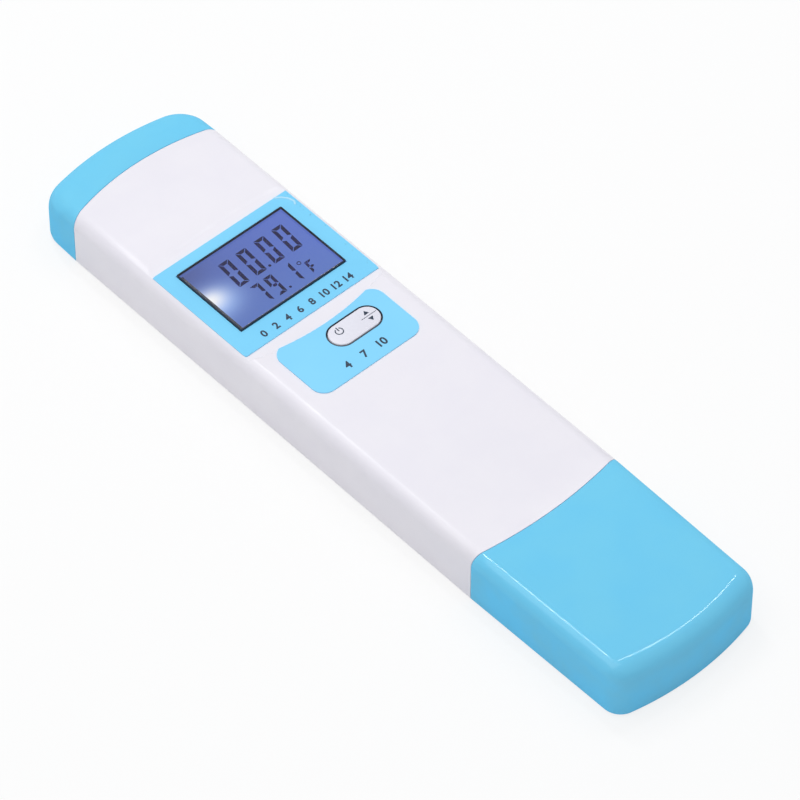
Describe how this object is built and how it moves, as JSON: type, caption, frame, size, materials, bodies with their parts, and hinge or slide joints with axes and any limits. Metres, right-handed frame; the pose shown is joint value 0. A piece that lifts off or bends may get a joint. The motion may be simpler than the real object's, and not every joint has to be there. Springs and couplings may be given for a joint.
{
  "type": "ph meter pen",
  "caption": "Flat handheld pH meter pen with bowed end caps, lit display window, tilting key and a capped glass electrode beside a temperature probe.",
  "frame": {"origin": "on the resting face, below the middle of the pen's length and width", "axes": "+Z out of the display, +Y along the pen towards the battery cap, +X to the reader's right"},
  "size_m": [0.04, 0.181, 0.0139],
  "materials": {
    "white_shell": "satin",
    "blue_shell": "glossy",
    "label_film": "satin",
    "key_label_film": "satin",
    "key_white": "satin",
    "clear_window": "polished",
    "lcd": "polished",
    "light_guide": "polished",
    "led_epoxy": "glowing",
    "frame_white": "moulded",
    "grey_plastic": "moulded",
    "black_plastic": "moulded",
    "board_green": "solder mask",
    "radio_shield": "satin",
    "crystal_steel": "satin",
    "capacitor_amber": "moulded",
    "screw_steel": "zinc plated",
    "cell_steel": "polished",
    "spring_steel": "nickel plated",
    "probe_steel": "polished",
    "silicone": "matte",
    "carbon_rubber": "matte",
    "conductive_rubber": "matte",
    "seal_rubber": "matte",
    "sponge": "open cell",
    "electrode_body": "clear tinted",
    "bulb_glass": "polished",
    "silver": "matt silver",
    "porous_ceramic": "porous",
    "potting": "cast",
    "lead_jacket": "matte",
    "probe_jacket": "matte"
  },
  "bodies": {
    "housing": {"body_sleeve": "white_shell", "display_overlay": "label_film", "key_overlay": "key_label_film", "window_lens": "clear_window", "lcd_glass": "lcd", "lcd_frame": "frame_white", "backlight_guide": "light_guide", "backlight_led": "led_epoxy", "zebra_strip": "conductive_rubber", "key_mat": "silicone", "contact_pills": "carbon_rubber", "main_board": "board_green", "controller_chip": "black_plastic", "amplifier_chip": "black_plastic", "crystal_can": "crystal_steel", "radio_module": "radio_shield", "board_capacitors": "capacitor_amber", "lead_sockets": "frame_white", "board_carrier": "grey_plastic", "board_screws": "screw_steel", "carrier_screws": "screw_steel", "battery_holder": "black_plastic", "coin_cell": "cell_steel", "negative_contact": "spring_steel", "positive_contact": "spring_steel", "electrode_collar": "grey_plastic", "collar_seal": "seal_rubber", "electrode_tube": "electrode_body", "glass_bulb": "bulb_glass", "sensing_wire": "silver", "reference_wire": "silver", "reference_junction": "porous_ceramic", "electrode_plug": "potting", "electrode_guard": "black_plastic", "temperature_probe": "probe_steel", "electrode_lead": "lead_jacket", "probe_lead": "probe_jacket"},
    "protective_cap": {"protective_cap": "blue_shell", "cap_sponge": "sponge"},
    "battery_cap": {"battery_cap": "blue_shell", "battery_cap_seal": "seal_rubber"},
    "key": {"rocker_key": "key_white"}
  },
  "joints": [
    {"name": "protective_cap_slide", "type": "slide", "parent": "housing", "child": "protective_cap", "axis": [0, -1, 0], "range_m": [0, 0.045]},
    {"name": "battery_cap_slide", "type": "slide", "parent": "housing", "child": "battery_cap", "axis": [0, 1, 0], "range_m": [0, 0.014]},
    {"name": "key_rock", "type": "hinge", "parent": "housing", "child": "key", "pos_m": [0.0036, 0.01447, 0.01055], "axis": [0, 1, 0], "range_deg": [-4, 4], "stiffness_Nm_per_rad": 0.1, "deforming": ["key_mat"]}
  ]
}
